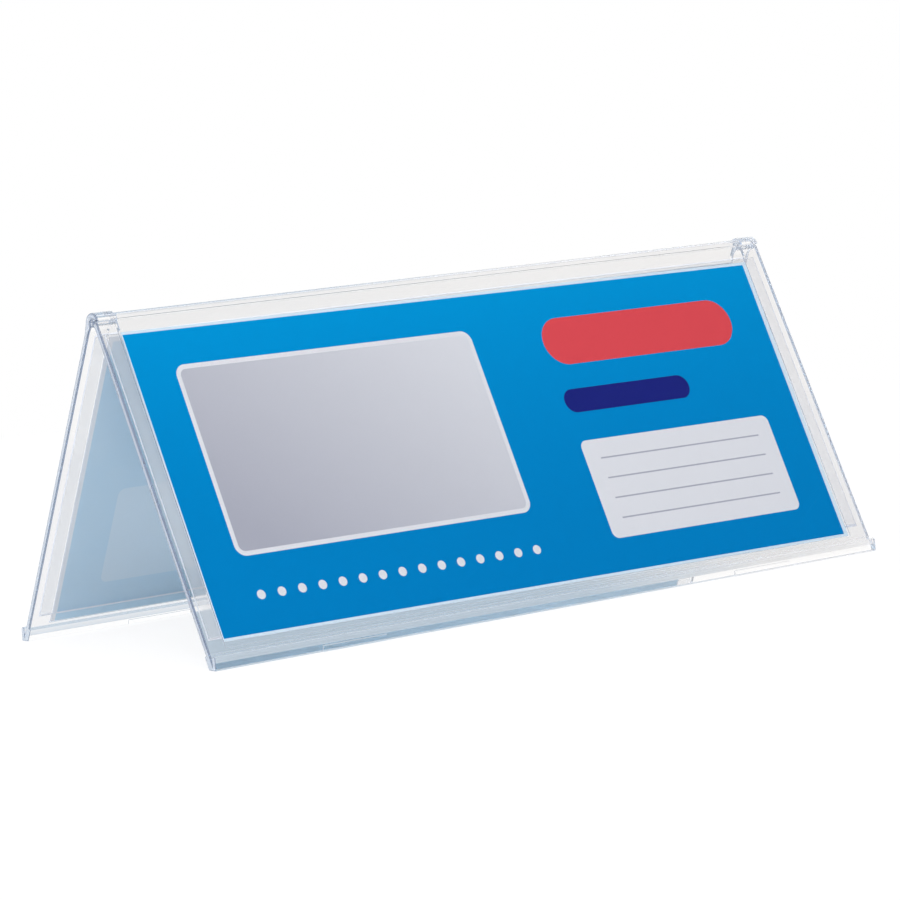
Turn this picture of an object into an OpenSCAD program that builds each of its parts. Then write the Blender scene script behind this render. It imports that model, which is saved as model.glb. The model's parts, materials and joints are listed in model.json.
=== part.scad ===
// Folding table card stand: two clear leaves, hooked together along the ridge. Each is a window on a
// lipped foot, with a thin back plate bonded behind it and a printed card slid in between from above.
// Frame: X along the ridge, front leaf on the -Y side, +Z up, origin on the table under the ridge.

/* [Card] */
// Width of a printed card
card_w = 200; // [120:1:300]
// Height of a printed card
card_h = 80; // [50:1:140]
// Thickness of the card stock
card_t = 0.25; // [0.15:0.05:0.5]
// Free space between a card and the plastic on each of its faces
card_clear = 0.1; // [0.05:0.05:0.3]
// Free space between a card and the side strip at each end
card_side_clear = 0.4; // [0.2:0.1:1.5]
// Gap between the card's lower edge and the ledge that it stands on
card_seat_gap = 0.05; // [0.02:0.01:0.2]

/* [Leaf] */
// Thickness of the clear window in front of a card
window_t = 1.15; // [0.8:0.05:2]
// Width of the spacer strip at each end of a leaf
strip_w = 5.6; // [4:0.2:12]
// Slope length from the hinge axis down to the card's upper edge
hinge_to_card = 4.8; // [3.5:0.1:10]
// Slope length of the base rail, from the card's lower edge to the table
base_rail = 4.3; // [4:0.1:10]
// Height of the window's upper edge over the hinge axis, along the slope
ridge_rise = 1.5; // [1.4:0.1:1.8]
// Height of the stiffening rail along the window's upper edge
rail_h = 1.9; // [1.6:0.05:2.5]
// How far that rail stands out from the window
rail_out = 0.35; // [0.1:0.05:0.5]

/* [Back plate] */
// Thickness of the back plate behind a card
plate_t = 0.45; // [0.4:0.05:1]
// Distance of the back plate's ends from the leaf's ends
plate_inset = 2; // [1:0.1:3.5]
// Slope length of card left bare below the back plate, for lifting the card
plate_lift = 2.4; // [1:0.1:6]
// Slope gap between the hinge knuckle and the back plate's upper edge
plate_top_gap = 0.8; // [0.4:0.1:3]
// Bevel along the back plate's lower edge
plate_bevel = 0.3; // [0.1:0.05:0.35]
// Thickness of the adhesive line under the back plate
bond_t = 0.05; // [0.02:0.01:0.1]

/* [Hinge] */
// Angle between the two leaves when the stand is open
open_angle = 52.5; // [40:0.5:70]
// Radius of the pivot pins moulded on the front leaf
pin_r = 0.8; // [0.6:0.05:1]
// Radial running clearance of a pin in its hook
pin_clear = 0.05; // [0.02:0.01:0.1]
// Wall of a hook around its pin
hook_t = 1.9; // [1.4:0.05:2.1]
// Angle of the hook's tip above the pin, on the front side of the open stand
hook_tip_angle = 18; // [8:1:24]
// Angle by which the hook reaches under the pin, past level with it on the outer side
hook_heel_angle = 80; // [40:1:86]
// Angle of the web that carries a pin, from the shoulder inwards
web_angle = 62; // [40:1:70]
// Slack of the opening stop, between hook tip and shoulder, in degrees
stop_slack = 1; // [0.5:0.5:3]
// Sideways gap between a hook and the window's upper edge
hook_side_gap = 0.3; // [0.2:0.05:0.8]
// Gap left on each side of the middle when the stand is folded flat
fold_clear = 0.05; // [0.03:0.01:0.3]

/* [Foot] */
// Height of the lip along the outer edge of a foot
lip_h = 3.4; // [2.4:0.1:6]
// Thickness of that lip
lip_t = 1.2; // [0.8:0.05:2]
// How far the lip stands out from the leaf's outer face at the table
lip_out = 0.4; // [0.1:0.05:0.9]
// Slope length of the inner toe that widens a foot
toe_len = 3.3; // [1:0.1:3.9]
// Length of a grip pad on the lip
pad_len = 19; // [8:1:30]
// Distance of a grip pad from the leaf's end
pad_from_end = 31; // [6:1:34]
// Height of a grip pad
pad_h = 1.5; // [0.8:0.1:2.2]
// How far a grip pad stands out from the lip
pad_out = 0.3; // [0.1:0.05:0.6]

/* [Hidden] */
$fn = 64;
half_angle = open_angle / 2;
pocket_w = card_w + 2 * card_side_clear;
stand_w = pocket_w + 2 * strip_w;
strip_x = pocket_w / 2;

// Distances outwards from the hinge axis, square to a leaf
plate_in = fold_clear;
plate_out = plate_in + plate_t;
leaf_in = plate_out + bond_t;
window_in = leaf_in - bond_t + card_t + 2 * card_clear;
leaf_out = window_in + window_t;
card_mid = plate_out + card_clear + card_t / 2;

// Distances down the slope from the hinge axis
ledge_s = hinge_to_card + card_h;
floor_s = ledge_s + base_rail;
axis_z = floor_s * cos(half_angle);

bore_r = pin_r + pin_clear;
knuckle_r = bore_r + hook_t;
// Slope distance at which the hinge ends stand on the window and its spacers, above the back plate
root_s = knuckle_r + plate_top_gap / 2;
rail_r = (window_t + rail_out) / 2;
// The shoulder on the front leaf meets the hook's tip when the stand is open
shoulder_angle = half_angle - hook_tip_angle + stop_slack;
shoulder_s = max(leaf_out * tan(shoulder_angle), 0);
// Outer face of the lip, from where the leaf's outer face would meet the table
lip_y = leaf_out / cos(half_angle) + axis_z * tan(half_angle) + lip_out;

clear_leaf = [0.86, 0.88, 0.95, 0.35];
clear_plate = [0.90, 0.93, 0.96, 0.30];
card_blue = [0.00, 0.53, 0.83];

// A point of the front leaf's section, in Y and Z: n outwards from the hinge axis, s down the slope
function at(n, s) = [
    -n * cos(half_angle) - s * sin(half_angle),
    axis_z + n * sin(half_angle) - s * cos(half_angle)
];

// A leaf's own frame: axis at the origin, outer side towards -Y, up the slope along +Z
module on_front() {
    translate([0, 0, axis_z])
        rotate([-half_angle, 0, 0])
            children();
}

module to_rear() {
    mirror([0, 1, 0])
        children();
}

module to_left() {
    mirror([1, 0, 0])
        children();
}

// A flat outline drawn in Y and Z, extruded along X
module along_x(x_from, x_len) {
    translate([x_from, 0, 0])
        rotate([90, 0, 90])
            linear_extrude(x_len)
                children();
}

module rod_x(x_from, x_len, r) {
    translate([x_from, 0, 0])
        rotate([0, 90, 0])
            cylinder(h = x_len, r = r);
}

// A slab of a leaf: offsets outwards from n_from to n_to, slope from s_from down to s_to
module slab(w, n_from, n_to, s_from, s_to) {
    translate([-w / 2, -n_to, -s_to])
        cube([w, n_to - n_from, s_to - s_from]);
}

// A wedge of a round bar between two angles, counted from +Y towards +Z
module bar_sector(x_from, x_len, r, from_angle, to_angle) {
    steps = ceil((to_angle - from_angle) / 40);
    reach = 2 * r;
    rays = [for (i = [0 : steps]) from_angle + (to_angle - from_angle) * i / steps];
    intersection() {
        rod_x(x_from, x_len, r);
        along_x(x_from, x_len)
            polygon(concat([[0, 0]], [for (a = rays) reach * [cos(a), sin(a)]]));
    }
}

// Clear sheet in front of the card: between the hooks it rises to a round-topped stiffening rail
module window() {
    rail_w = pocket_w - 2 * hook_side_gap;
    on_front() {
        slab(stand_w, window_in, leaf_out, root_s, ledge_s);
        slab(rail_w, window_in, leaf_out, rail_h - ridge_rise, root_s + window_t);
        slab(rail_w, window_in, leaf_out + rail_out, rail_r - ridge_rise, rail_h - ridge_rise);
        translate([0, -window_in - rail_r, ridge_rise - rail_r])
            rod_x(-rail_w / 2, rail_w, rail_r);
    }
}

// Strip behind the window at the right end: it sets the pocket's width and depth
module spacer() {
    on_front()
        translate([strip_x, -window_in, -ledge_s])
            cube([strip_w, window_in - leaf_in, ledge_s - root_s]);
}

// Section of a foot: base rail with the ledge for the card, inner toe and upright outer lip
module foot_section() {
    lip_side = lip_h - lip_t / 2;
    groove_z = (lip_t - lip_out) / tan(half_angle);
    toe_y = -plate_in / cos(half_angle) - axis_z * tan(half_angle);
    // A thick or low lip fills the groove, and the rail's outer face runs into its round edge
    groove = groove_z < lip_side
        ? [[lip_t - lip_y, groove_z], [lip_t - lip_y, lip_side]]
        : [[lip_out - lip_y + lip_side * tan(half_angle), lip_side]];
    polygon(concat(
        [at(leaf_in, ledge_s), at(leaf_out, ledge_s)],
        groove,
        [[-lip_y, lip_side], [-lip_y, 0], [toe_y, 0]],
        [at(plate_in, floor_s - toe_len), at(leaf_in, floor_s - toe_len)]
    ));
}

// Grip pad on the lip, at the right end
module grip_pad() {
    translate([stand_w / 2 - pad_from_end - pad_len, -lip_y - pad_out, 0])
        cube([pad_len, pad_out + lip_t / 2, pad_h]);
}

// Foot along a leaf's lower edge: the lip has a round upper edge and two grip pads
module foot() {
    along_x(-stand_w / 2, stand_w)
        foot_section();
    translate([0, lip_t / 2 - lip_y, lip_h - lip_t / 2])
        rod_x(-stand_w / 2, stand_w, lip_t / 2);
    grip_pad();
    to_left()
        grip_pad();
}

// Stem of a hinge end, standing on the window and its spacer at the right end
module hinge_stem() {
    translate([strip_x, -leaf_out, -root_s])
        cube([strip_w, leaf_out - leaf_in, root_s - shoulder_s]);
}

// Pivot pin at the right end, carried by a web that rises from the stem
module pivot_pin() {
    on_front() {
        hinge_stem();
        rod_x(strip_x, strip_w, pin_r);
        bar_sector(strip_x, strip_w, leaf_out, 180 + shoulder_angle, 180 + shoulder_angle + web_angle);
    }
}

// Hook at the right end: it wraps over the pin from the outer side, and its tip is the opening stop
module hook() {
    on_front()
        difference() {
            union() {
                hinge_stem();
                bar_sector(strip_x, strip_w, knuckle_r, half_angle + hook_tip_angle, 180 + hook_heel_angle);
            }
            rod_x(strip_x - hook_side_gap / 2, strip_w + hook_side_gap, bore_r);
        }
}

// Thin plate bonded to the spacers behind the card, bevelled along its lower edge
module back_plate() {
    top_s = knuckle_r + plate_top_gap;
    low_s = ledge_s - plate_lift;
    w = stand_w - 2 * plate_inset;
    on_front()
        along_x(-w / 2, w)
            polygon([
                [-plate_out, -top_s],
                [-plate_in, -top_s],
                [-plate_in, -low_s + plate_bevel],
                [-plate_in - plate_bevel, -low_s],
                [-plate_out, -low_s]
            ]);
}

module card() {
    on_front()
        slab(card_w, card_mid - card_t / 2, card_mid + card_t / 2,
             hinge_to_card - card_seat_gap, ledge_s - card_seat_gap);
}

module front_window() {
    color(clear_leaf)
        window();
}

module front_left_spacer() {
    color(clear_leaf)
        to_left()
            spacer();
}

module front_right_spacer() {
    color(clear_leaf)
        spacer();
}

module front_foot() {
    color(clear_leaf)
        foot();
}

module left_pivot_pin() {
    color(clear_leaf)
        to_left()
            pivot_pin();
}

module right_pivot_pin() {
    color(clear_leaf)
        pivot_pin();
}

module front_back_plate() {
    color(clear_plate)
        back_plate();
}

module front_card() {
    color(card_blue)
        card();
}

module rear_window() {
    color(clear_leaf)
        to_rear()
            window();
}

module rear_left_spacer() {
    color(clear_leaf)
        to_left()
            to_rear()
                spacer();
}

module rear_right_spacer() {
    color(clear_leaf)
        to_rear()
            spacer();
}

module rear_foot() {
    color(clear_leaf)
        to_rear()
            foot();
}

module left_hook() {
    color(clear_leaf)
        to_left()
            to_rear()
                hook();
}

module right_hook() {
    color(clear_leaf)
        to_rear()
            hook();
}

module rear_back_plate() {
    color(clear_plate)
        to_rear()
            back_plate();
}

module rear_card() {
    color(card_blue)
        to_rear()
            card();
}

front_window();
front_left_spacer();
front_right_spacer();
front_foot();
left_pivot_pin();
right_pivot_pin();
front_back_plate();
front_card();
rear_window();
rear_left_spacer();
rear_right_spacer();
rear_foot();
left_hook();
right_hook();
rear_back_plate();
rear_card();
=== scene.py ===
# %% [markdown]
# A folding table card stand: two clear plastic leaves that hook together along the ridge, a thin
# clear plate behind each leaf, and a printed card in each pocket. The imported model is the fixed
# frame. Every size below is read from it or is a real size in millimetres, so that a piece lands
# where the model has it.

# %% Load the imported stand
import json
import math

import bmesh
import bpy
from mathutils import Matrix, Vector

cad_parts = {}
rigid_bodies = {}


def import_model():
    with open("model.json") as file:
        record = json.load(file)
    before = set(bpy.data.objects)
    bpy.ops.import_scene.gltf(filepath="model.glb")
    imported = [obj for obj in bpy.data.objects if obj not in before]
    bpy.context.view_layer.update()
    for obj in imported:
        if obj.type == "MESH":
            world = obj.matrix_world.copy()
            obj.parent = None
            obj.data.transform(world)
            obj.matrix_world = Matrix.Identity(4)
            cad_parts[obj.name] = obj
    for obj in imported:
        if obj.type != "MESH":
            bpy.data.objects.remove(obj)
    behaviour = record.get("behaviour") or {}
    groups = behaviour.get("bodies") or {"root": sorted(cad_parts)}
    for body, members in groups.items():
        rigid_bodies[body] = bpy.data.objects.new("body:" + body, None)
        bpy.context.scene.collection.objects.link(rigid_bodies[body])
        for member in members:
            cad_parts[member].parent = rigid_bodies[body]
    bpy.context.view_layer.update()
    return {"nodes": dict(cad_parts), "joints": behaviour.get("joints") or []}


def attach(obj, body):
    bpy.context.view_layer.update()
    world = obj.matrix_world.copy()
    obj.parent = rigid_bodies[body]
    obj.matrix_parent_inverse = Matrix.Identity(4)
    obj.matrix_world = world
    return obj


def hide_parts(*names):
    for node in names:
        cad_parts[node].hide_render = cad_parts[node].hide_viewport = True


for leftover in list(bpy.data.objects):
    bpy.data.objects.remove(leftover)
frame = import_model()
scene = bpy.context.scene
scene.view_settings.view_transform = "Standard"
print("nodes:", ", ".join(sorted(frame["nodes"])))

# %% [markdown]
# The camera comes first. A long lens stands low in front of the stand's left end and is rolled a
# few degrees. Its place was found by matching the corners of the leaves, so it is written as an
# eye point, three angles and a focal length in pixels of a 900 x 900 picture.

# %% Camera
MM = 0.001
PICTURE_SIZE = 900
FOCAL_PIXELS = 4095.3
SENSOR_WIDTH = 36
camera_eye = Vector((-634.198, -821.475, 153.120)) * MM
camera_azimuth = math.radians(-37.6332)
camera_elevation = math.radians(6.3708)
camera_roll = math.radians(-3.6287)

camera_back = Vector((
    math.sin(camera_azimuth) * math.cos(camera_elevation),
    -math.cos(camera_azimuth) * math.cos(camera_elevation),
    math.sin(camera_elevation),
))
level_right = Vector((0, 0, 1)).cross(camera_back).normalized()
level_up = camera_back.cross(level_right)
camera_right = level_right * math.cos(camera_roll) + level_up * math.sin(camera_roll)
camera_up = level_up * math.cos(camera_roll) - level_right * math.sin(camera_roll)

camera_data = bpy.data.cameras.new("photo_camera")
camera_data.sensor_fit = "HORIZONTAL"
camera_data.sensor_width = SENSOR_WIDTH
camera_data.lens = FOCAL_PIXELS / PICTURE_SIZE * SENSOR_WIDTH
camera = bpy.data.objects.new("photo_camera", camera_data)
camera.matrix_world = Matrix.Translation(camera_eye) @ Matrix(
    (camera_right, camera_up, camera_back)).transposed().to_4x4()
scene.collection.objects.link(camera)
scene.camera = camera
print("lens %.1f mm" % camera_data.lens)

# %% [markdown]
# Shader maths reads best as sums. This class wraps one socket of a node tree: +, -, * and / add
# Math nodes, and `add` makes any other node from its type, its settings and what goes into its
# sockets. The other methods are short names for nodes that come up often: a mix of two colours,
# noise over a place, and the bumps that a height makes.

# %% Shader sums
MIX_SHARE, MIX_FIRST, MIX_SECOND, MIX_COLOUR = 0, 6, 7, 2


class Shade:
    def __init__(self, tree, socket=None):
        self.tree = tree
        self.socket = socket

    def add(self, kind, settings=None, sockets=None, out=0):
        node = self.tree.nodes.new(kind)
        for name, value in (settings or {}).items():
            setattr(node, name, value)
        for key, value in (sockets or {}).items():
            if isinstance(value, Shade):
                self.tree.links.new(value.socket, node.inputs[key])
            else:
                node.inputs[key].default_value = value
        return Shade(self.tree, node.outputs[out] if node.outputs else None)

    def also(self, name):
        """Another output of the same node."""
        return Shade(self.tree, self.socket.node.outputs[name])

    def math(self, operation, *values):
        return self.add("ShaderNodeMath", {"operation": operation}, dict(enumerate(values)))

    def mix(self, first, second, blend="MIX"):
        settings = {"data_type": "RGBA", "blend_type": blend}
        sockets = {MIX_SHARE: self, MIX_FIRST: first, MIX_SECOND: second}
        return self.add("ShaderNodeMix", settings, sockets, out=MIX_COLOUR)

    def clamp(self):
        return self.add("ShaderNodeClamp", {}, {"Value": self})

    def noise(self, scale, detail):
        """Noise over a place, about 0 to 1, in grains of 1 / scale metres."""
        sockets = {"Vector": self, "Scale": scale, "Detail": detail}
        return self.add("ShaderNodeTexNoise", {}, sockets)

    def bump(self, depth, strength=1):
        """The normal of a surface with this height, which is some millimetres deep."""
        sockets = {"Strength": strength, "Distance": depth * MM, "Height": self}
        return self.add("ShaderNodeBump", {}, sockets, out="Normal")

    def __add__(self, other):
        return self.math("ADD", self, other)

    def __radd__(self, other):
        return self.math("ADD", other, self)

    def __sub__(self, other):
        return self.math("SUBTRACT", self, other)

    def __rsub__(self, other):
        return self.math("SUBTRACT", other, self)

    def __mul__(self, other):
        return self.math("MULTIPLY", self, other)

    def __rmul__(self, other):
        return self.math("MULTIPLY", other, self)

    def __truediv__(self, other):
        return self.math("DIVIDE", self, other)

    def __rtruediv__(self, other):
        return self.math("DIVIDE", other, self)

    def __abs__(self):
        return self.math("ABSOLUTE", self)


print("shader sums ready")

# %% [markdown]
# Three more helpers serve every finish. Colours are written as a picture editor shows them,
# because that is how a colour is judged, and `srgb` turns them into the linear numbers that a
# shader works with. A new material starts empty, with the place on the object as its first node.
# `show` ends it.

# %% Material helpers
WHITE = (1, 1, 1, 1)


def srgb(red, green, blue):
    """A colour as a picture editor names it, 0 to 255, as the linear RGBA that sockets take."""
    def linear(level):
        share = level / 255
        return share / 12.92 if share <= 0.04045 else ((share + 0.055) / 1.055) ** 2.4
    return (linear(red), linear(green), linear(blue), 1)


def new_material(name):
    """An empty material, a Shade to hang its nodes on, and the place on the object in metres."""
    material = bpy.data.materials.new(name)
    material.use_nodes = True
    material.node_tree.nodes.clear()
    start = Shade(material.node_tree)
    return material, start, start.add("ShaderNodeTexCoord", out="Object")


def show(surface, volume=None):
    sockets = {"Surface": surface}
    if volume:
        sockets["Volume"] = volume
    surface.add("ShaderNodeOutputMaterial", {}, sockets)


print("material helpers ready")

# %% [markdown]
# A leaf is easiest to think about in its own section: n runs outwards from the hinge axis, square
# to the leaf, and w runs up the slope. The frame gives the fold angle and the axis, and each
# node's corners give the sizes. They could be typed in once more, but sizes that are read can't
# drift away from the model.

# %% Sizes of a leaf, in millimetres
fold = next(joint for joint in frame["joints"] if joint["name"] == "leaf_fold")
half_angle = math.radians(fold["range_deg"][1]) / 2
axis_z = fold["pos_m"][2] / MM
cos_half, sin_half = math.cos(half_angle), math.sin(half_angle)
FRONT, REAR = -1, 1


def leaf_point(y, z):
    """n and w of a point of the rear leaf's section, from its y and z on the table."""
    return y * cos_half + (z - axis_z) * sin_half, (z - axis_z) * cos_half - y * sin_half


def leaf_corners(node):
    """x, n and w of a node's vertices; the rear leaf is the front one seen from behind."""
    vertices = frame["nodes"][node].data.vertices
    side = FRONT if sum(vertex.co.y for vertex in vertices) < 0 else REAR
    corners = []
    for vertex in vertices:
        x, y, z = vertex.co / MM
        corners.append((x, *leaf_point(side * y, z)))
    return corners


def leaf_span(node):
    return [(min(values), max(values)) for values in zip(*leaf_corners(node))]


(_, half_w), (window_in, rail_face), (ledge_low, ridge_rise) = leaf_span("front_window")
(strip_x, _), (leaf_in, _), (_, root_w) = leaf_span("front_right_spacer")
(_, _), (_, leaf_out), (_, pin_r) = leaf_span("right_pivot_pin")
(_, plate_x), (plate_in, plate_out), (plate_low, plate_top) = leaf_span("front_back_plate")
(_, card_x), (card_in, card_out), (card_low, card_top) = leaf_span("front_card")
(_, _), (_, _), (_, knuckle_r) = leaf_span("right_hook")
bore_r = min(math.hypot(n, w) for _, n, w in leaf_corners("right_hook"))
print("leaf %.2f mm thick, pocket %.2f mm deep, hook radius %.2f mm"
      % (leaf_out - leaf_in, window_in - leaf_in, knuckle_r))

# %% [markdown]
# Every clear part is an outline pushed along the ridge. `extrude` makes such a closed prism in
# leaf coordinates, `arc` gives the round stretches, and `combine` joins or cuts solids with exact
# Booleans. The section stays square to the axes while it is cut, which lets faces that should lie
# in one plane do so exactly.

# %% Solid helpers
def arc(centre, radius, from_deg, to_deg, steps):
    points = []
    for step in range(steps + 1):
        turn = math.radians(from_deg + (to_deg - from_deg) * step / steps)
        points.append((centre[0] + radius * math.cos(turn), centre[1] + radius * math.sin(turn)))
    return points


def extrude(name, outline, x_from, x_to):
    """A closed prism in leaf coordinates, x along the ridge."""
    solid = bmesh.new()
    near = [solid.verts.new((x_from, n, w)) for n, w in outline]
    far = [solid.verts.new((x_to, n, w)) for n, w in outline]
    solid.faces.new(near)
    solid.faces.new(far)
    for this in range(len(outline)):
        following = (this + 1) % len(outline)
        solid.faces.new((near[this], near[following], far[following], far[this]))
    bmesh.ops.recalc_face_normals(solid, faces=solid.faces)
    mesh = bpy.data.meshes.new(name)
    solid.to_mesh(mesh)
    solid.free()
    piece = bpy.data.objects.new(name, mesh)
    scene.collection.objects.link(piece)
    return piece


def block(name, x_span, n_span, w_span):
    (n0, n1), (w0, w1) = n_span, w_span
    return extrude(name, [(n0, w0), (n1, w0), (n1, w1), (n0, w1)], *x_span)


def apply_modifiers(piece):
    depsgraph = bpy.context.evaluated_depsgraph_get()
    mesh = bpy.data.meshes.new_from_object(piece.evaluated_get(depsgraph))
    spent = piece.data
    piece.modifiers.clear()
    piece.data = mesh
    bpy.data.meshes.remove(spent)


def combine(piece, operation, tool):
    """Joins a tool to a piece or cuts it out, and throws the tool away."""
    boolean = piece.modifiers.new("combine", "BOOLEAN")
    boolean.operation = operation
    boolean.solver = "EXACT"
    boolean.object = tool
    apply_modifiers(piece)
    bpy.data.objects.remove(tool)


print("solid helpers ready")

# %% [markdown]
# The moulded leaf. One blank carries the whole section: rail, window, base rail, toe and lip. The
# card pocket is milled out of it between the end strips, and the ends of the rail are cut back to
# leave room for the hinge. It could also be built face by face, but cutting keeps the steps in
# the order in which the shape is understood.

# %% Leaf blank and pocket
RAIL_LIP = 1.9
LIP_H, LIP_T, LIP_OUT = 3.4, 1.2, 0.4
TOE_LEN = 3.3
HOOK_SIDE_GAP = 0.3
CUTTER_PAST = 5
RAIL_STEPS, LIP_STEPS = 14, 12

floor_w = -axis_z / cos_half
lip_y = leaf_out / cos_half + axis_z * sin_half / cos_half + LIP_OUT
toe_y = plate_in / cos_half + axis_z * sin_half / cos_half
lip_side = LIP_H - LIP_T / 2
rail_r = (rail_face - window_in) / 2
rail_x = strip_x - HOOK_SIDE_GAP


def leaf_outline():
    rail = arc((window_in + rail_r, ridge_rise - rail_r), rail_r, 180, 0, RAIL_STEPS)
    groove = (lip_y - LIP_T, (LIP_T - LIP_OUT) / math.tan(half_angle))
    lip_edge = arc((lip_y - LIP_T / 2, lip_side), LIP_T / 2, 180, 0, LIP_STEPS)
    foot = [groove, *lip_edge, (lip_y, 0), (toe_y, 0)]
    toe_top = floor_w + TOE_LEN
    return [
        (leaf_in, ridge_rise - rail_r), *rail,
        (rail_face, ridge_rise - RAIL_LIP), (leaf_out, ridge_rise - RAIL_LIP),
        *(leaf_point(y, z) for y, z in foot),
        (plate_in, toe_top), (leaf_in, toe_top),
    ]


def leaf_blank(name):
    blank = extrude(name, leaf_outline(), -half_w, half_w)
    pocket = block("pocket", (-strip_x, strip_x), (leaf_in - CUTTER_PAST, window_in),
                   (ledge_low, CUTTER_PAST))
    combine(blank, "DIFFERENCE", pocket)
    for x_span in ((-half_w - CUTTER_PAST, -rail_x), (rail_x, half_w + CUTTER_PAST)):
        notch = block("notch", x_span, (leaf_in - CUTTER_PAST, rail_face + CUTTER_PAST),
                      (root_w, CUTTER_PAST))
        combine(blank, "DIFFERENCE", notch)
    return blank


print("lip at %.2f mm from the middle, slope %.2f mm long" % (lip_y, -floor_w))

# %% [markdown]
# The hinge ends. On the front leaf a pin sits on a web; on the rear leaf a hook curls over that
# pin. Both grow out of the end strips, so each outline reaches a little way down into its strip,
# and the two solids are then joined. The hook's round back runs out into the leaf along a
# tangent.

# %% Pins and hooks
HOOK_TIP, HOOK_HEEL, HOOK_FLARE = 18, 80, 10
WEB_TURN = 62
STOP_SLACK = 1
ROOT_OVERLAP = 1
PIN_STEPS, HOOK_STEPS, BORE_STEPS = 48, 40, 36

half_deg = math.degrees(half_angle)
shoulder_deg = half_deg - HOOK_TIP + STOP_SLACK
root_low = root_w - ROOT_OVERLAP


def turned(points):
    """Arc angles count from the inner side upwards, and n points outwards."""
    return [(-across, up) for across, up in points]


def pin_parts(x_span):
    shoulder = leaf_out, -leaf_out * math.tan(math.radians(shoulder_deg))
    web_foot = leaf_in, -leaf_in / math.tan(math.radians(90 - shoulder_deg - WEB_TURN))
    web = [(0, 0), shoulder, (leaf_out, root_low), (leaf_in, root_low), web_foot]
    pin = arc((0, 0), pin_r, 0, 360 - 360 / PIN_STEPS, PIN_STEPS - 1)
    return [extrude("web", web, *x_span), extrude("pin", pin, *x_span)]


def hook_parts(x_span):
    tip, heel = half_deg + HOOK_TIP, 180 + HOOK_HEEL
    outer = turned(arc((0, 0), knuckle_r, tip, 180 + HOOK_FLARE, HOOK_STEPS))
    inner = turned(arc((0, 0), bore_r, heel, tip, BORE_STEPS))
    inner_w = -math.sqrt(knuckle_r ** 2 - leaf_in ** 2)
    flare = math.radians(HOOK_FLARE)
    flare_w = (leaf_out * math.cos(flare) - knuckle_r) / math.sin(flare)
    legs = [(leaf_out, flare_w), (leaf_out, min(root_low, flare_w - ROOT_OVERLAP)),
            (leaf_in, root_low), (leaf_in, inner_w)]
    return [extrude("hook", outer + legs + inner, *x_span)]


print("hook wraps %.0f degrees" % (180 + HOOK_HEEL - half_deg - HOOK_TIP))

# %% [markdown]
# The grip pads are low blocks on the lip. They are square to the table, so they are joined on
# after the leaf has been tilted, with the foot's underside snapped to the table. Booleans leave
# tiny edges and split faces behind, and `clean_faces` welds and merges them before any edge is
# rounded.

# %% Grip pads and clean faces
PAD_LEN, PAD_FROM_END, PAD_H, PAD_OUT = 19, 31, 1.5, 0.3
SNAP = 1e-3
WELD = 0.04
FLAT_DEG = 1


def tilt(piece):
    """From leaf coordinates to the table, still in millimetres, as the rear leaf stands."""
    turn = Matrix(((1, 0, 0), (0, cos_half, -sin_half), (0, sin_half, cos_half))).to_4x4()
    piece.data.transform(Matrix.Translation((0, 0, axis_z)) @ turn)
    for vertex in piece.data.vertices:
        if abs(vertex.co.z) < SNAP:
            vertex.co.z = 0


def grip_pad(side_x):
    outline = [(lip_y - LIP_T / 2, 0), (lip_y + PAD_OUT, 0),
               (lip_y + PAD_OUT, PAD_H), (lip_y - LIP_T / 2, PAD_H)]
    outer_x = side_x * (half_w - PAD_FROM_END)
    inner_x = outer_x - side_x * PAD_LEN
    return extrude("grip_pad", outline, min(outer_x, inner_x), max(outer_x, inner_x))


def clean_faces(piece):
    mesh = bmesh.new()
    mesh.from_mesh(piece.data)
    bmesh.ops.remove_doubles(mesh, verts=mesh.verts, dist=WELD)
    bmesh.ops.dissolve_limit(mesh, angle_limit=math.radians(FLAT_DEG), verts=mesh.verts,
                             edges=mesh.edges)
    bmesh.ops.recalc_face_normals(mesh, faces=mesh.faces)
    open_edges = sum(not edge.is_manifold for edge in mesh.edges)
    shortest = min(edge.calc_length() for edge in mesh.edges)
    mesh.to_mesh(piece.data)
    mesh.free()
    print("%s: %d open edges, shortest edge %.3f mm" % (piece.name, open_edges, shortest))


print("grip pads %d mm long, %.1f mm high" % (PAD_LEN, PAD_H))

# %% [markdown]
# Every edge gets the small rounding that moulded plastic has: without it a clear part shows no
# bright lines along its edges. A bevel with one weight per edge rounds them all in a single step,
# wider where the leaf was cut to length. Weighted normals keep the large faces optically flat
# beside those round edges.

# %% Rounded edges
EDGE_ROUND, END_ROUND, FOOT_ROUND = 0.12, 0.38, 0.15
ROUND_STEPS = 2
SHARP_DEG = 30
FLAT_FACE_WEIGHT = 100


def edge_width(edge, end_x):
    """Wide around the two end faces, finer at the foot, where the lip leaves little room."""
    if any(abs(vertex.co.x) < end_x - SNAP for vertex in edge.verts):
        return EDGE_ROUND
    return FOOT_ROUND if all(vertex.co.z < LIP_H + SNAP for vertex in edge.verts) else END_ROUND


def weigh_edges(piece, widest, width_of):
    """Marks the sharp edges for rounding, each with its share of the widest one."""
    mesh = bmesh.new()
    mesh.from_mesh(piece.data)
    end_x = max(vertex.co.x for vertex in mesh.verts)
    weights = mesh.edges.layers.float.new("bevel_weight_edge")
    for edge in mesh.edges:
        if edge.calc_face_angle(0) > math.radians(SHARP_DEG):
            edge[weights] = width_of(edge, end_x) / widest
    mesh.to_mesh(piece.data)
    mesh.free()


def round_edges(piece, widest, width_of):
    weigh_edges(piece, widest, width_of)
    bevel = piece.modifiers.new("edges", "BEVEL")
    bevel.width = widest
    bevel.segments = ROUND_STEPS
    bevel.limit_method = "WEIGHT"
    bevel.face_strength_mode = "FSTR_ALL"
    bevel.use_clamp_overlap = False
    apply_modifiers(piece)
    piece.data.shade_smooth()
    normals = piece.modifiers.new("normals", "WEIGHTED_NORMAL")
    normals.use_face_influence = True
    normals.weight = FLAT_FACE_WEIGHT
    apply_modifiers(piece)


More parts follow.
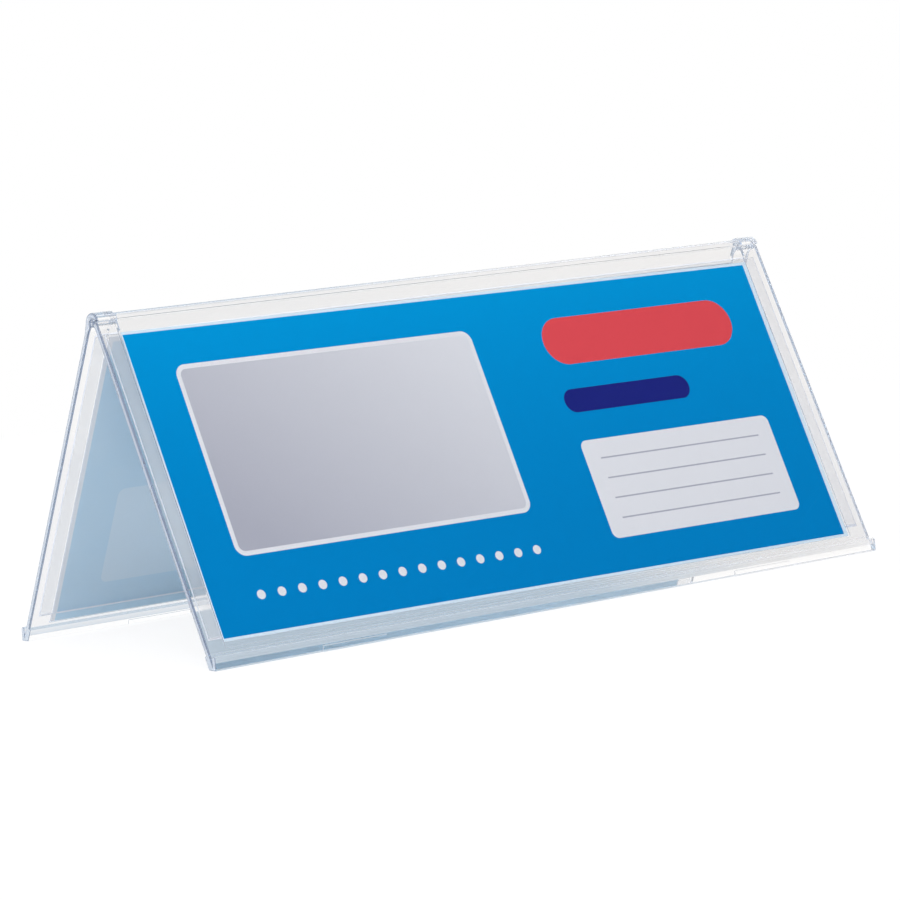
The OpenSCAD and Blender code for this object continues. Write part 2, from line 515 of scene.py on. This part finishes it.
print("edges rounded by %.2f to %.2f mm" % (EDGE_ROUND, END_ROUND))

# %% [markdown]
# Now the two leaves. The front one carries the pins and the rear one the hooks; the rest is the
# same leaf turned round. The end faces and their round rims are marked, because the cut ends of
# such a leaf aren't as clear as its moulded faces. The rims are also split by end, for painted
# shade at the left ends and painted light at the right ends.

# %% Finished leaves
END_FACE, LEFT_RIM, RIGHT_RIM = 1, 2, 3


def mark_ends(leaf, side):
    """Marks the end faces, and the rims of the left and the right end."""
    for face in leaf.data.polygons:
        to_left = -side * face.center.x
        if abs(to_left) > half_w - SNAP:
            face.material_index = END_FACE
        # The left and right rims are kept apart: painted shade at the left ends, painted light at
        # the right.
        elif abs(to_left) > half_w - END_ROUND:
            face.material_index = LEFT_RIM if to_left > 0 else RIGHT_RIM


def set_down(piece, side):
    """From the table in millimetres to the frame in metres, turned round for the front leaf."""
    piece.data.transform(Matrix.Diagonal((side * MM, side * MM, MM, 1)))


def clear_leaf(name, side, hinge_parts):
    leaf = leaf_blank(name)
    for x_span in ((-half_w, -strip_x), (strip_x, half_w)):
        for part in hinge_parts(x_span):
            combine(leaf, "UNION", part)
    tilt(leaf)
    for side_x in (-1, 1):
        combine(leaf, "UNION", grip_pad(side_x))
    clean_faces(leaf)
    round_edges(leaf, END_ROUND, edge_width)
    mark_ends(leaf, side)
    set_down(leaf, side)
    print("%s: %d faces" % (name, len(leaf.data.polygons)))
    return leaf


front_leaf = clear_leaf("front_leaf_clear", FRONT, pin_parts)
rear_leaf = clear_leaf("rear_leaf_clear", REAR, hook_parts)
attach(front_leaf, "front_side")
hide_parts("front_window", "front_left_spacer", "front_right_spacer", "front_foot",
            "left_pivot_pin", "right_pivot_pin")
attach(rear_leaf, "rear_side")
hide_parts("rear_window", "rear_left_spacer", "rear_right_spacer", "rear_foot",
            "left_hook", "right_hook")

# %% [markdown]
# The back plate is a thin sheet behind the card, bevelled along its lower edge so that a finger
# finds the card. It is the same prism and rounding on a smaller scale. Its edges are sawn and
# scraped, not polished, so they show as a white line and are marked for a finish of their own.
# Where the plate is stuck to the end strips, a milky film fills the line between them; its pale
# tone is partly the glue and partly painted light that brightens the strips. The film is a solid
# of its own in that line, because it has to be seen through the plastic from both sides.

# %% Back plates
PLATE_BEVEL, PLATE_SCRAPE = 0.3, 0.4
PLATE_ROUND = 0.06
FILM_GAP, FILM_SIDE, FILM_END = 0.015, 0.1, 0.2
SAWN_EDGE, BOND_FILM = 1, 2
FACING = 0.5


def mark_sawn_edges(plate):
    """Marks the lower, upper and end edges, while w is still the third coordinate."""
    sawn_to = plate_low + PLATE_BEVEL + PLATE_SCRAPE
    for face in plate.data.polygons:
        upper_or_end = face.normal.z > FACING or abs(face.normal.x) > FACING
        if face.center.z < sawn_to or upper_or_end:
            face.material_index = SAWN_EDGE


def bond_film(x_from, x_to):
    """The milky line where the plate is stuck to an end strip, partly glue and partly painted
    light.
    """
    film = block("bond_film", (x_from + FILM_SIDE, x_to - FILM_SIDE),
                 (plate_out + FILM_GAP, leaf_in - FILM_GAP),
                 (plate_low + FILM_END, plate_top - FILM_END))
    for face in film.data.polygons:
        face.material_index = BOND_FILM
    tilt(film)
    return film


def join(piece, others):
    merged = bmesh.new()
    for part in (piece, *others):
        merged.from_mesh(part.data)
    merged.to_mesh(piece.data)
    merged.free()
    for part in others:
        bpy.data.objects.remove(part)


def back_plate(name, side):
    bevel_top = plate_low + PLATE_BEVEL
    outline = [(plate_out, plate_top), (plate_in, plate_top), (plate_in, bevel_top + PLATE_SCRAPE),
               (plate_in, bevel_top), (plate_in + PLATE_BEVEL, plate_low), (plate_out, plate_low)]
    plate = extrude(name, outline, -plate_x, plate_x)
    mark_sawn_edges(plate)
    tilt(plate)
    round_edges(plate, PLATE_ROUND, lambda edge, end_x: PLATE_ROUND)
    join(plate, [bond_film(-plate_x, -strip_x), bond_film(strip_x, plate_x)])
    set_down(plate, side)
    return plate


front_plate = back_plate("front_plate_clear", FRONT)
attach(front_plate, "front_side")
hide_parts("front_back_plate")
rear_plate = back_plate("rear_plate_clear", REAR)
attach(rear_plate, "rear_side")
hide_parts("rear_back_plate")
print("plates %.2f mm thick" % (plate_out - plate_in))

# %% [markdown]
# A card is a sheet of coated stock. It is never quite flat: it bows a few hundredths of a
# millimetre. A plane with a Solidify modifier would also do, but a grid whose faces are made one
# by one gives front, back and cut edge a finish each. It is made in the card's own coordinates, so
# that the print can be drawn in millimetres from the card's middle. The cut edge is kept sharp:
# with smooth shading across it, the print would darken along its border.

# %% Card sheet
CARD_COLUMNS, CARD_ROWS = 40, 16
CARD_BOW = 0.04
PRINTED_FACE, BARE_BACK, CUT_EDGE = 0, 1, 2
card_half_h = (card_top - card_low) / 2
card_t = card_out - card_in


def card_rows(sheet, face_z):
    """The vertices of one face, row by row."""
    across = [card_x * (2 * column / CARD_COLUMNS - 1) for column in range(CARD_COLUMNS + 1)]
    rows = []
    for row in range(CARD_ROWS + 1):
        y = card_half_h * (2 * row / CARD_ROWS - 1)
        bow = [CARD_BOW * math.cos(math.pi * x / card_x) * math.cos(math.pi / 2 * y / card_half_h)
               for x in across]
        rows.append([sheet.verts.new((x, y, face_z + z)) for x, z in zip(across, bow)])
    return rows


def fill_face(sheet, rows, finish):
    for low, high in zip(rows, rows[1:]):
        for left in range(CARD_COLUMNS):
            quad = (low[left], low[left + 1], high[left + 1], high[left])
            face = sheet.faces.new(quad if finish == PRINTED_FACE else quad[::-1])
            face.material_index = finish
            face.smooth = True


def around(rows):
    """The vertices along a face's border, once round."""
    right = [row[-1] for row in rows[1:-1]]
    left = [row[0] for row in rows[-2:0:-1]]
    return rows[0] + right + rows[-1][::-1] + left


def card_sheet(name):
    sheet = bmesh.new()
    front_rows, back_rows = card_rows(sheet, card_t / 2), card_rows(sheet, -card_t / 2)
    fill_face(sheet, front_rows, PRINTED_FACE)
    fill_face(sheet, back_rows, BARE_BACK)
    front_rim, back_rim = around(front_rows), around(back_rows)
    for this in range(len(front_rim)):
        following = (this + 1) % len(front_rim)
        face = sheet.faces.new((front_rim[this], back_rim[this],
                                back_rim[following], front_rim[following]))
        face.material_index = CUT_EDGE
    bmesh.ops.recalc_face_normals(sheet, faces=sheet.faces)
    for edge in sheet.edges:
        edge.smooth = edge.calc_face_angle(0) < math.radians(SHARP_DEG)
    mesh = bpy.data.meshes.new(name)
    sheet.to_mesh(mesh)
    sheet.free()
    mesh.transform(Matrix.Scale(MM, 4))
    card = bpy.data.objects.new(name, mesh)
    scene.collection.objects.link(card)
    return card


print("a card is %.1f x %.1f mm, %.2f mm thick" % (2 * card_x, 2 * card_half_h, card_t))

# %% [markdown]
# The cards stand in their pockets on the ledge. A pocket is a little wider than its card, so a
# card is seldom quite straight in it: the front one leans on its lower right corner. The object
# is turned and not its mesh, so that the print stays square to the card.

# %% Cards in their pockets
FRONT_CARD_TURN = -0.40


def stand_card(card, side, turn_deg):
    """Stands a card on the ledge: turned about its face, then let down until a corner rests."""
    turn = math.radians(turn_deg)
    drop = card_x * abs(math.sin(turn)) + card_half_h * (math.cos(turn) - 1)
    middle_w = (card_top + card_low) / 2 + drop
    middle_n = (card_in + card_out) / 2
    along = Vector((-side, 0, 0))
    upward = Vector((0, -side * sin_half, cos_half))
    outward = along.cross(upward)
    centre = outward * middle_n + upward * middle_w + Vector((0, 0, axis_z))
    axes = Matrix((along, upward, outward)).transposed().to_4x4()
    card.matrix_world = Matrix.Translation(centre * MM) @ axes @ Matrix.Rotation(turn, 4, "Z")


front_card = card_sheet("front_card_sheet")
stand_card(front_card, FRONT, FRONT_CARD_TURN)
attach(front_card, "front_insert")
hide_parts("front_card")
rear_card = card_sheet("rear_card_sheet")
stand_card(rear_card, REAR, 0)
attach(rear_card, "rear_insert")
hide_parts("rear_card")
print("front card leans by %.1f degrees" % -FRONT_CARD_TURN)

# %% [markdown]
# Clear moulded plastic. Its surface is polished, but not perfect: the mould leaves a slight wave,
# and handling leaves a haze that varies over a few centimetres. The plastic takes a little red
# and green out of light that runs a long way inside it, which is why the edges look lavender
# while the window looks colourless. A tint on the surface would colour the window as well, while
# a volume tints by path length. Lamps see through the leaf, so that light reaches the card behind
# it without the noise of light that is bent on its way.

# %% Clear plastic
PLASTIC_IOR = 1.49
PLASTIC_ABSORBS = (0.25, 0.52, 0.775, 1)
PLASTIC_DENSITY = 2
LAMP_SHARE = (0.93, 0.935, 0.945, 1)


def clear_plastic(name, haze, wave, tint=WHITE, clear=1):
    """Clear plastic with a mean haze (roughness) and a wave in millimetres."""
    material, start, where = new_material(name)
    handling = where.noise(scale=45, detail=3)
    flow = where.noise(scale=160, detail=1)
    plastic = start.add("ShaderNodeBsdfPrincipled", {}, {
        "Base Color": tint, "Roughness": haze * (0.5 + handling), "IOR": PLASTIC_IOR,
        "Transmission Weight": clear, "Normal": flow.bump(wave)})
    through = start.add("ShaderNodeBsdfTransparent", {}, {"Color": LAMP_SHARE})
    ray = start.add("ShaderNodeLightPath", out="Is Shadow Ray")
    to_lamps = ray.math("MAXIMUM", ray, ray.also("Is Diffuse Ray"))
    surface = start.add("ShaderNodeMixShader", {}, {0: to_lamps, 1: plastic, 2: through})
    depth_tint = start.add("ShaderNodeVolumeAbsorption", {},
                           {"Color": PLASTIC_ABSORBS, "Density": PLASTIC_DENSITY})
    show(surface, depth_tint)
    return material


print("clear plastic, index %.2f" % PLASTIC_IOR)

# %% [markdown]
# Where a leaf was cut to length its end faces are milky. The cut is rounded off around them into
# a dull rim, darkened by painted shade at the left ends and made pale by painted light at the
# right ends. All of that is the same plastic with more haze and a tint. One shader could find the
# ends by their place, but a finish for each marked face ends exactly where the rounding does.

# %% Finishes of the leaves
POLISHED, DULL = 0.018, 0.25
MOULD_WAVE, CUT_WAVE = 0.001, 0.004
END_TINT, END_CLEAR = (0.97, 0.985, 1, 1), 0.6
# The rim tints are painted shade at the left ends and painted light at the right ends.
RIM_PAINTED_SHADE_TINT, RIM_PAINTED_LIGHT_TINT, RIM_CLEAR = (0.40, 0.44, 0.52, 1), (0.86, 0.87, 0.90, 1), 0.7

leaf_finishes = (
    clear_plastic("moulded_clear_plastic", POLISHED, MOULD_WAVE),
    clear_plastic("matt_end_plastic", DULL, CUT_WAVE, END_TINT, END_CLEAR),
    clear_plastic("rim_painted_shade_plastic", DULL, CUT_WAVE, RIM_PAINTED_SHADE_TINT, RIM_CLEAR),
    clear_plastic("rim_painted_light_plastic", DULL, CUT_WAVE, RIM_PAINTED_LIGHT_TINT, RIM_CLEAR),
)
for leaf in (front_leaf, rear_leaf):
    for finish in leaf_finishes:
        leaf.data.materials.append(finish)
print("leaf finishes:", ", ".join(finish.name for finish in leaf_finishes))

# %% [markdown]
# The back plates are cut from clear sheet with the same polish. Saw teeth leave their edges
# frosted white, with fine marks across them. Frosted plastic could be clear plastic with deep
# bumps, but on an edge this thin a matt white looks the same and has no noise. The bond is a film
# that covers only a part of what lies behind it, and a little cloudy; its pale colour is partly
# painted light that brightens the end strips.

# %% Finishes of the back plates
SAWN, SAWN_SHADE = srgb(247, 249, 252), srgb(206, 214, 226)
SAWN_GLOSS = 0.3
BOND_AND_PAINTED_LIGHT, BOND_AND_LIGHT_COVER = srgb(249, 248, 247), 0.19


def sawn_plastic():
    material, start, where = new_material("sawn_sheet_edge")
    teeth = where.noise(scale=2000, detail=2)
    frosted = start.add("ShaderNodeBsdfPrincipled", {}, {
        "Base Color": (0.12 * teeth).mix(SAWN, SAWN_SHADE), "Roughness": 0.6 + 0.2 * teeth,
        "Specular IOR Level": SAWN_GLOSS})
    show(frosted)
    return material


def bond_and_painted_light_plastic():
    material, start, where = new_material("milky_bond_and_painted_light")
    cloud = where.noise(scale=250, detail=3)
    # The pale film colour is partly the glue and partly painted light on the end strips.
    milk = start.add("ShaderNodeBsdfPrincipled", {}, {
        "Base Color": BOND_AND_PAINTED_LIGHT, "Roughness": 0.6 + 0.2 * cloud, "Specular IOR Level": 0,
        "Alpha": BOND_AND_LIGHT_COVER * (0.8 + 0.4 * cloud)})
    show(milk)
    return material


plate_plastic = clear_plastic("clear_sheet_plastic", POLISHED, CUT_WAVE)
plate_finishes = plate_plastic, sawn_plastic(), bond_and_painted_light_plastic()
for plate in (front_plate, rear_plate):
    for finish in plate_finishes:
        plate.data.materials.append(finish)
print("plate finishes:", ", ".join(finish.name for finish in plate_finishes))

# %% [markdown]
# The print on the card is a plain form in a few flat inks: a bordered field, a round-ended bar or
# two, a row of dots and a ruled label. Each shape is a distance in millimetres that turns into
# ink below zero, so edges stay sharp at any zoom without a picture file.

# %% Printed shapes
INK_EDGE = 0.05
RULING_HALF = 0.2
SQUARE_CORNER = 0.01


def inked(distance):
    return (0.5 - distance / INK_EDGE).clamp()


def fade(value, bounds):
    """0 to 1 as a value goes from the first bound to the second."""
    return ((value - bounds[0]) / (bounds[1] - bounds[0])).clamp()


def round_box(x, y, centre, size, corner):
    """Ink inside a box with round corners."""
    across = abs(x - centre[0]) - (size[0] / 2 - corner)
    along = abs(y - centre[1]) - (size[1] / 2 - corner)
    out_x, out_y = across.math("MAXIMUM", across, 0), along.math("MAXIMUM", along, 0)
    outside = across.math("SQRT", out_x * out_x + out_y * out_y)
    inside = across.math("MINIMUM", across.math("MAXIMUM", across, along), 0)
    return inked(outside + inside - corner)


def dot_row(x, y, from_x, to_x, at_y, pitch, radius):
    step = x.math("FLOORED_MODULO", x - from_x, pitch) - pitch / 2
    rise = y - at_y
    dots = inked(x.math("SQRT", step * step + rise * rise) - radius)
    return dots * inked(abs(x - (from_x + to_x) / 2) - (to_x - from_x) / 2)


def rulings(x, y, centre, size, count):
    pitch = size[1] / count
    step = y.math("FLOORED_MODULO", y - (centre[1] - size[1] / 2), pitch) - pitch / 2
    return inked(abs(step) - RULING_HALF) * round_box(x, y, centre, size, SQUARE_CORNER)


print("print shapes ready")

# %% [markdown]
# The form itself. Each box is written as its centre, its size and the radius of its corners, in
# millimetres from the middle of the print, so that the layout can be read and changed as a list.
# Later inks cover earlier ones, as in a press. Light is painted into the print: the blue field
# grows lighter towards the top as painted light and darker towards the bottom as painted shade,
# and the grey panel carries a painted shine towards its upper right corner.

# %% Print layout
PAPER, PALE_BORDER = srgb(252, 252, 251), srgb(228, 245, 253)
BLUE_PAINTED_LIT_TOP, BLUE_PAINTED_SHADED_LOW = srgb(0, 157, 221), srgb(0, 136, 202)
RED, NAVY = srgb(236, 82, 88), srgb(34, 42, 128)
LABEL, STEEL = srgb(240, 240, 240), srgb(182, 183, 192)
BORDER, BORDER_CORNER = 0.75, 0.2
PRINT_SHIFT = -0.5
PANEL_FRAME, PANEL = ((-43, 5), (90, 50), 3), ((-43, 5), (87.6, 47.6), 1.8)
PANEL_PAINTED_SHINE = (-95, 45)
RED_BAR, NAVY_BAR = ((56, 24), (64, 13), 6.5), ((45, 7.5), (42, 6.5), 3.25)
LABEL_BOX, RULED_BOX = ((56, -17), (64, 27), 2), ((56, -17), (54, 22))
RULED_LINES = 4
DOTS_FROM, DOTS_TO, DOTS_AT, DOT_PITCH, DOT_RADIUS = -88, 2, -30, 6, 1.2


def card_plan(where):
    """x and y on the card in millimetres from the middle of the print."""
    x = where.add("ShaderNodeSeparateXYZ", {}, {"Vector": where})
    return x / MM - PRINT_SHIFT, x.also("Y") / MM


def printed_field(x, y):
    size = 2 * (card_x - BORDER), 2 * (card_half_h - BORDER)
    return round_box(x, y, (0, 0), size, BORDER_CORNER)


def print_colour(x, y):
    # Painted light: the blue is lighter towards the top and darker towards the bottom, as light
    # falls.
    rise = fade(y, (-card_half_h, card_half_h))
    field = (rise * rise).mix(BLUE_PAINTED_SHADED_LOW, BLUE_PAINTED_LIT_TOP)
    colour = printed_field(x, y).mix(PALE_BORDER, field)
    colour = round_box(x, y, *PANEL_FRAME).mix(colour, LABEL)
    # Painted shine: the grey panel turns lighter towards its upper right corner.
    painted_shine = fade(x + y, PANEL_PAINTED_SHINE)
    colour = round_box(x, y, *PANEL).mix(colour, painted_shine.mix(STEEL, LABEL))
    colour = round_box(x, y, *RED_BAR).mix(colour, RED)
    colour = round_box(x, y, *NAVY_BAR).mix(colour, NAVY)
    colour = round_box(x, y, *LABEL_BOX).mix(colour, LABEL)
    colour = rulings(x, y, *RULED_BOX, RULED_LINES).mix(colour, STEEL)
    dots = dot_row(x, y, DOTS_FROM, DOTS_TO, DOTS_AT, DOT_PITCH, DOT_RADIUS)
    return dots.mix(colour, LABEL)


print("print field %.1f mm inside the cut edge" % BORDER)

# %% [markdown]
# Coated card stock. The inks lie on white paper that shows at the cut border, with the faint
# mottle that ink has on coated stock. The back is bare paper: the ink shows through it as a pale
# tint, partly its own show-through and partly painted light that comes through the sheet from
# the lit print side, and the fibres give it a soft grain. Light through the sheet could be
# rendered instead, but the painted tint is even and needs no extra light.

# %% Card inks and paper
MOTTLE_SHADE, MOTTLE_SHARE = (0.7, 0.7, 0.7, 1), 0.16
INK_GLOSS = 0.01
INK_AND_BACKLIGHT_TINT = srgb(89, 195, 235)
INK_AND_BACKLIGHT_SHARE, SHOW_CLOUD, LABEL_SHOWS = 0.42, 0.05, 0.32
BACK_DROP = 0.6
CORE_SHADE = srgb(226, 230, 236)
GRAIN_DEPTH = 0.01


def printed_face():
    material, start, where = new_material("printed_card_face")
    mottle = where.noise(scale=900, detail=4)
    fibre = where.noise(scale=4000, detail=3)
    inks = print_colour(*card_plan(where))
    paper = start.add("ShaderNodeBsdfPrincipled", {}, {
        "Base Color": (mottle * MOTTLE_SHARE).mix(inks, MOTTLE_SHADE, "MULTIPLY"),
        "Roughness": 0.5 + 0.15 * mottle, "Specular IOR Level": INK_GLOSS,
        "Normal": fibre.bump(GRAIN_DEPTH, 0.2)})
    show(paper)
    return material


def bare_back():
    material, start, where = new_material("bare_card_back")
    x, y = card_plan(where)
    fibre = where.noise(scale=2500, detail=5)
    cloud = where.noise(scale=60, detail=2)
    ink_share = 1 - LABEL_SHOWS * round_box(x, y, *LABEL_BOX)
    cloudy = INK_AND_BACKLIGHT_SHARE - SHOW_CLOUD + 2 * SHOW_CLOUD * cloud
    # The pale blue tint is partly show-through of the ink and partly painted light from the lit
    # print side.
    depth = printed_field(x, y + BACK_DROP) * ink_share * cloudy
    paper = start.add("ShaderNodeBsdfPrincipled", {}, {
        "Base Color": (0.08 * fibre).mix(depth.mix(PAPER, INK_AND_BACKLIGHT_TINT), PAPER),
        "Roughness": 0.7 + 0.1 * fibre, "Normal": fibre.bump(GRAIN_DEPTH, 0.3)})
    show(paper)
    return material


def cut_edge():
    material, start, where = new_material("cut_card_edge")
    fibre = where.noise(scale=3000, detail=3)
    paper = start.add("ShaderNodeBsdfPrincipled", {}, {
        "Base Color": fibre.mix(PAPER, CORE_SHADE), "Roughness": 0.8 + 0.1 * fibre})
    show(paper)
    return material


card_finishes = [printed_face(), bare_back(), cut_edge()]
for card in (front_card, rear_card):
    for finish in card_finishes:
        card.data.materials.append(finish)
print("card finishes:", ", ".join(finish.name for finish in card_finishes))

# %% [markdown]
# The table is a plain white sweep that turns into pure white half a metre away, as a studio
# background does. Near the stand it keeps the soft shadow: seen directly it is lifted towards
# white. Through the clear plastic it shows painted shade: a cool painted shadow under the tent,
# which is part of how the foot looks, and to the left of the stand a painted grey patch that gives
# the clear edges something to draw with.

# %% Floor
FLOOR_HALF, FLOOR_GRID = 40.0, 8
FLOOR_WHITE, FLOOR_SEEN = (0.62, 0.62, 0.63, 1), (0.90, 0.90, 0.91, 1)
FLOOR_LIFT, THROUGH_LIFT = 0.85, 0.75
FLOOR_ROUGH, TOOTH_DEPTH, TOOTH_STRENGTH = 0.6, 1, 0.1
VEILED_WHITE = (0.97, 0.955, 0.945, 1)
TENT_SHADE = (0.56, 0.67, 0.77, 1)
LEFT_PAINTED_GREY = (0.42, 0.48, 0.57, 1)
SHADE_TO_WHITE = (0.12, 0.5)
TENT_SHADOW_Y, TENT_SHADOW_X, LEFT_X = (0.060, 0.045), (0.075, 0.015), (-0.10, -0.16)


def studio_floor():
    material, start, where = new_material("white_sweep")
    x = start.add("ShaderNodeSeparateXYZ", {}, {"Vector": where})
    # Seen through the plastic the floor carries painted shade: a cool painted shadow under the
    # tent and a painted grey patch to the left of the stand.
    under = fade(abs(x.also("Y")), TENT_SHADOW_Y) * fade(x, TENT_SHADOW_X)
    shade = fade(x, LEFT_X).mix(under.mix(VEILED_WHITE, TENT_SHADE), LEFT_PAINTED_GREY)
    white = start.add("ShaderNodeEmission", {}, {"Color": WHITE, "Strength": 1})
    painted_shade_floor = start.add("ShaderNodeEmission", {}, {"Color": shade, "Strength": 1})
    distance = start.add("ShaderNodeVectorMath", {"operation": "LENGTH"}, {0: where}, out="Value")
    far = fade(distance, SHADE_TO_WHITE)
    seen = start.add("ShaderNodeLightPath", out="Is Camera Ray")
    through = seen.math("MAXIMUM", seen.also("Is Transmission Ray"), seen.also("Is Glossy Ray"))
    tooth = where.noise(scale=3, detail=2).bump(TOOTH_DEPTH, TOOTH_STRENGTH)
    lit = start.add("ShaderNodeBsdfDiffuse", {}, {
        "Color": seen.mix(FLOOR_WHITE, FLOOR_SEEN), "Roughness": FLOOR_ROUGH, "Normal": tooth})
    lift = seen * far.math("MAXIMUM", far, FLOOR_LIFT)
    veil = through * far.math("MAXIMUM", far, THROUGH_LIFT)
    behind = start.add("ShaderNodeMixShader", {}, {0: veil, 1: lit, 2: painted_shade_floor})
    show(start.add("ShaderNodeMixShader", {}, {0: lift, 1: behind, 2: white}))
    return material


sweep = bmesh.new()
bmesh.ops.create_grid(sweep, x_segments=FLOOR_GRID, y_segments=FLOOR_GRID, size=FLOOR_HALF)
floor_mesh = bpy.data.meshes.new("white_sweep")
sweep.to_mesh(floor_mesh)
sweep.free()
floor = bpy.data.objects.new("white_sweep", floor_mesh)
scene.collection.objects.link(floor)
floor.data.materials.append(studio_floor())
print("floor %.0f m wide" % (2 * FLOOR_HALF))

# %% [markdown]
# The room. A clear object is drawn by what it reflects and bends. The room is bright above and
# behind the stand and falls off to a cool grey behind the camera, which draws soft lavender lines
# along the edges. A black flag hangs where the front window would mirror the room into the
# camera, as a photographer hangs one, so that the print keeps its full colour. All of it is
# written by direction in the world, which no other view can walk into, as it could into a wall.

# %% Room
ROOM_BRIGHT = (1.04, 1.03, 1.02, 1)
ROOM_COOL = (0.42, 0.45, 0.56, 1)
ROOM_FLAG = (0.01, 0.01, 0.012, 1)
COOL_TOWARDS = (-0.5, -0.866, 0)
COOL_SPREAD, FLAG_SPREAD = (-0.3, 0.7), (0.86, 0.95)


def room_share(direction, towards, spread):
    """0 to 1 as a direction turns towards another one, between two cosines."""
    facing = direction.add("ShaderNodeVectorMath", {"operation": "DOT_PRODUCT"},
                           {0: direction, 1: towards}, out="Value")
    return fade(facing, spread)


def studio_world():
    world = bpy.data.worlds.new("studio_room")
    world.use_nodes = True
    world.node_tree.nodes.clear()
    start = Shade(world.node_tree)
    direction = start.add("ShaderNodeTexCoord", out="Generated")
    window_normal = Vector((0, -cos_half, sin_half))
    mirrored = -camera_back.reflect(window_normal)
    cool = room_share(direction, COOL_TOWARDS, COOL_SPREAD)
    flag = room_share(direction, mirrored, FLAG_SPREAD)
    colour = flag.mix(cool.mix(ROOM_BRIGHT, ROOM_COOL), ROOM_FLAG)
    ray = start.add("ShaderNodeLightPath", out="Is Camera Ray")
    room = start.add("ShaderNodeBackground", {}, {"Color": ray.mix(colour, WHITE)})
    start.add("ShaderNodeOutputWorld", {}, {"Surface": room})
    return world


scene.world = studio_world()
print("room set:", scene.world.name)

# %% [markdown]
# The lamps. Soft ones stand above and at both ends of the tent, and a low one beside the camera
# lights the inside through the open end. A thin strip under the tent stands in for the light that
# the two sheets of card let through. They light matt surfaces only: in a reflection, or bent by
# the plastic, they would lie on the windows as round glare.

# %% Lamps
LAMP_AIM = (0, 0, 0.03)
SOFT_LAMPS = (
    ("key_softbox", (-0.55, -0.75, 1.05), 0.8, 7.5),
    ("top_softbox", (0.25, 0.35, 1.2), 0.9, 5),
    ("low_softbox", (-0.70, -0.85, 0.2), 0.5, 1.9),
    ("left_softbox", (-1.1, 0.1, 0.35), 0.6, 2),
    ("right_softbox", (1.1, 0.0, 0.35), 0.6, 3),
)
STRIP_AT, STRIP_LEN, STRIP_WIDTH, STRIP_POWER = (0.02, 0, 0.003), 0.16, 0.012, 0.035


def area_lamp(name, at, shape, power):
    data = bpy.data.lights.new(name, "AREA")
    data.shape = shape
    data.energy = power
    lamp = bpy.data.objects.new(name, data)
    lamp.location = at
    lamp.visible_glossy = lamp.visible_transmission = False
    scene.collection.objects.link(lamp)
    return lamp


def soft_lamp(name, at, size, power):
    lamp = area_lamp(name, at, "DISK", power)
    lamp.data.size = size
    lamp.rotation_euler = (Vector(LAMP_AIM) - Vector(at)).to_track_quat("-Z", "Y").to_euler()


def strip_light(name, at, length, width, power):
    """A thin light that lies along the tent and shines up."""
    lamp = area_lamp(name, at, "RECTANGLE", power)
    lamp.data.size, lamp.data.size_y = length, width
    lamp.rotation_euler = (math.pi, 0, 0)
    lamp.visible_camera = False


for lamp_row in SOFT_LAMPS:
    soft_lamp(*lamp_row)
strip_light("tent_strip_light", STRIP_AT, STRIP_LEN, STRIP_WIDTH, STRIP_POWER)
print("%d soft lamps and a strip light" % len(SOFT_LAMPS))

# %% [markdown]
# Clear plastic needs many turns of light inside it. A ray that goes in at the end of a plate half
# a millimetre thick turns several hundred times before it comes out at the other end. These
# limits let it, instead of leaving a black line.

# %% Light paths
LIGHT_TURNS, CLEAR_LAYERS = 1024, 32
scene.cycles.max_bounces = LIGHT_TURNS
scene.cycles.glossy_bounces = LIGHT_TURNS
scene.cycles.transmission_bounces = LIGHT_TURNS
scene.cycles.transparent_max_bounces = CLEAR_LAYERS
print("light may turn %d times" % scene.cycles.max_bounces)
